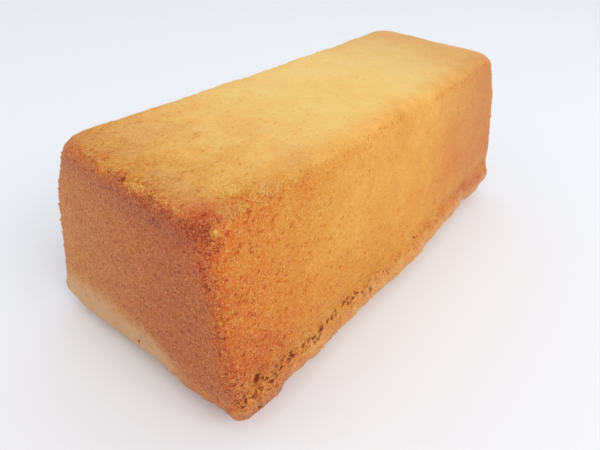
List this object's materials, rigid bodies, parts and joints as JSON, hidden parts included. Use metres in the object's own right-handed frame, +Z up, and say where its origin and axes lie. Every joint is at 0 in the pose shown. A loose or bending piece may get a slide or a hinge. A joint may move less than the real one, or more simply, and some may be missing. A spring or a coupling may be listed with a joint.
{
  "type": "butter cake",
  "caption": "Plain butter cake baked in a loaf tin, turned out upside down: flat golden top, walls that lean out, and a rounded porous lip along the foot.",
  "frame": {"origin": "on the table, under the middle of the cake", "axes": "+Z up, X along the long side, Y across; the near long wall faces -Y and the near end faces -X"},
  "size_m": [0.1808, 0.0878, 0.0681],
  "materials": {
    "golden_crust": "baked golden brown crust, matt and slightly greasy, fine open crumb, paler on the flat top and redder on the ends"
  },
  "bodies": {
    "root": {"cake": "golden_crust"}
  },
  "joints": []
}
